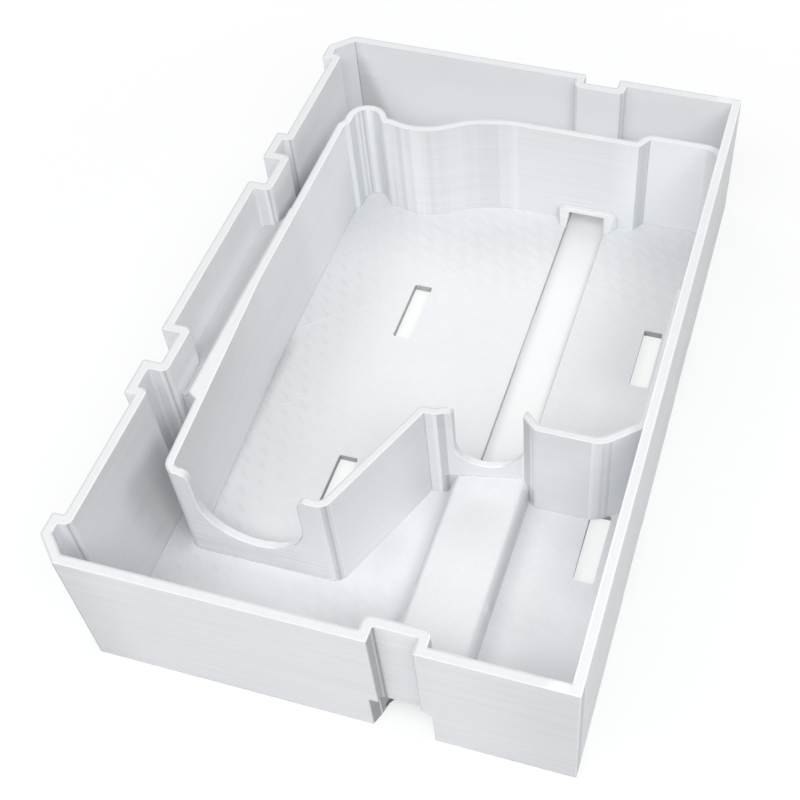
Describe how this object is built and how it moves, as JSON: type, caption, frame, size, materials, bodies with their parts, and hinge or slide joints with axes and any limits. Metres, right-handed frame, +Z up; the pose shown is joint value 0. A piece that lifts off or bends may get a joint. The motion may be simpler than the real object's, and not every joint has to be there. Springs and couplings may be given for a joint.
{
  "type": "drawer organizer tray",
  "caption": "Rectangular drawer organizer tray with a low contoured inner pocket, finger dips, a raised strip over a through channel and recessed side wall.",
  "frame": {"origin": "middle of the underside of the tray", "axes": "+X toward the straight right wall, +Y toward the back along the long side, +Z up"},
  "size_m": [0.2036, 0.314, 0.0682],
  "materials": {
    "tray": "matte layered print in pale grey"
  },
  "bodies": {
    "root": {"organizer_tray": "tray"}
  },
  "joints": []
}
